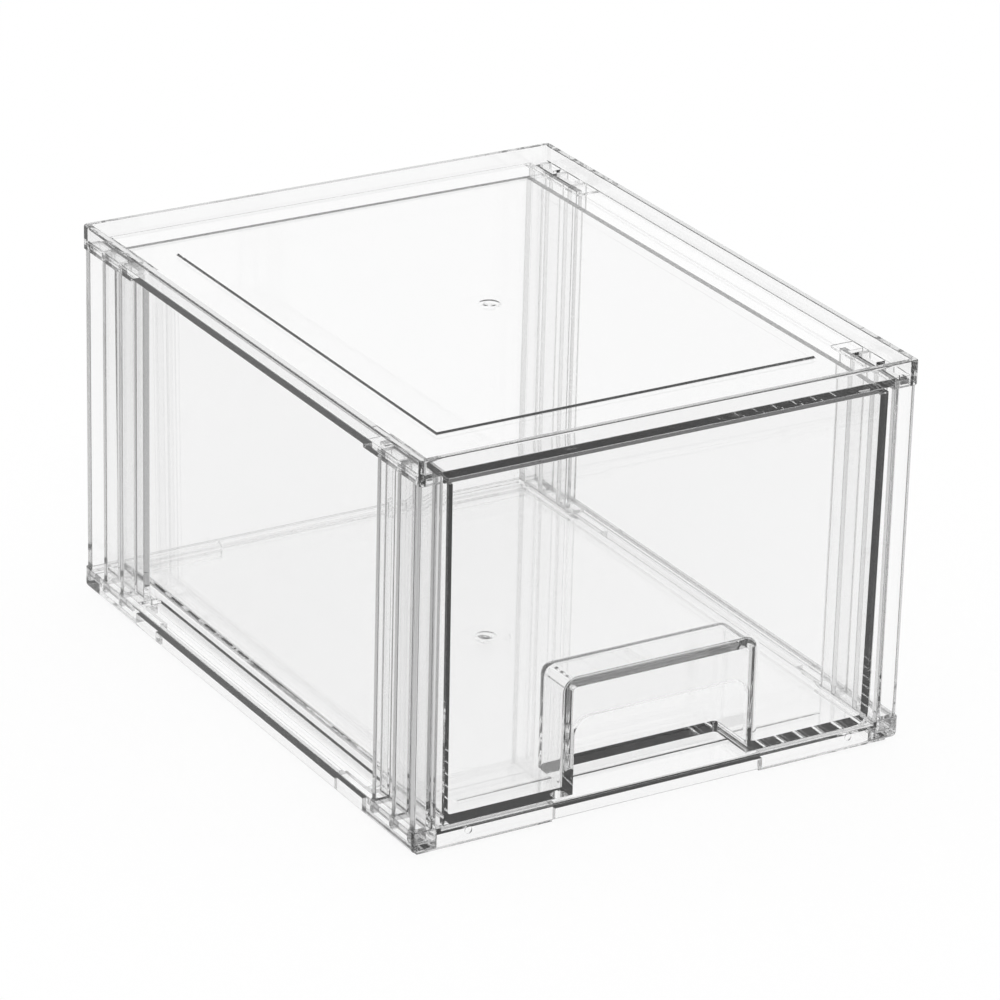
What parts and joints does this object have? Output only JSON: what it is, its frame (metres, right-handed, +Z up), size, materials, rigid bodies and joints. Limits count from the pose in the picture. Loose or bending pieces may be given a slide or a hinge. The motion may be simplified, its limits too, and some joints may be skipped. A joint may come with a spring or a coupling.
{
  "type": "stackable drawer box",
  "caption": "Clear stacking box with a full-height slide-out drawer, ribbed corner posts between a base panel and a tray-shaped top panel, and a moulded finger pull.",
  "frame": {"origin": "on the surface that the box stands on, under the middle of the box", "axes": "+Z up, -Y towards the front that the drawer opens at, +X to the right as seen from the front"},
  "size_m": [0.17, 0.214, 0.1255],
  "materials": {
    "clear_panel": "clear colourless moulded plastic, polished",
    "clear_post": "clear colourless moulded plastic, polished",
    "clear_drawer": "clear colourless moulded plastic, polished"
  },
  "bodies": {
    "case": {"base_panel": "clear_panel", "top_panel": "clear_panel", "front_left_post": "clear_post", "front_right_post": "clear_post", "rear_left_post": "clear_post", "rear_right_post": "clear_post"},
    "drawer_box": {"drawer": "clear_drawer"}
  },
  "joints": [
    {"name": "drawer_slide", "type": "slide", "parent": "case", "child": "drawer_box", "axis": [0, -1, 0], "range_m": [0, 0.17]}
  ]
}
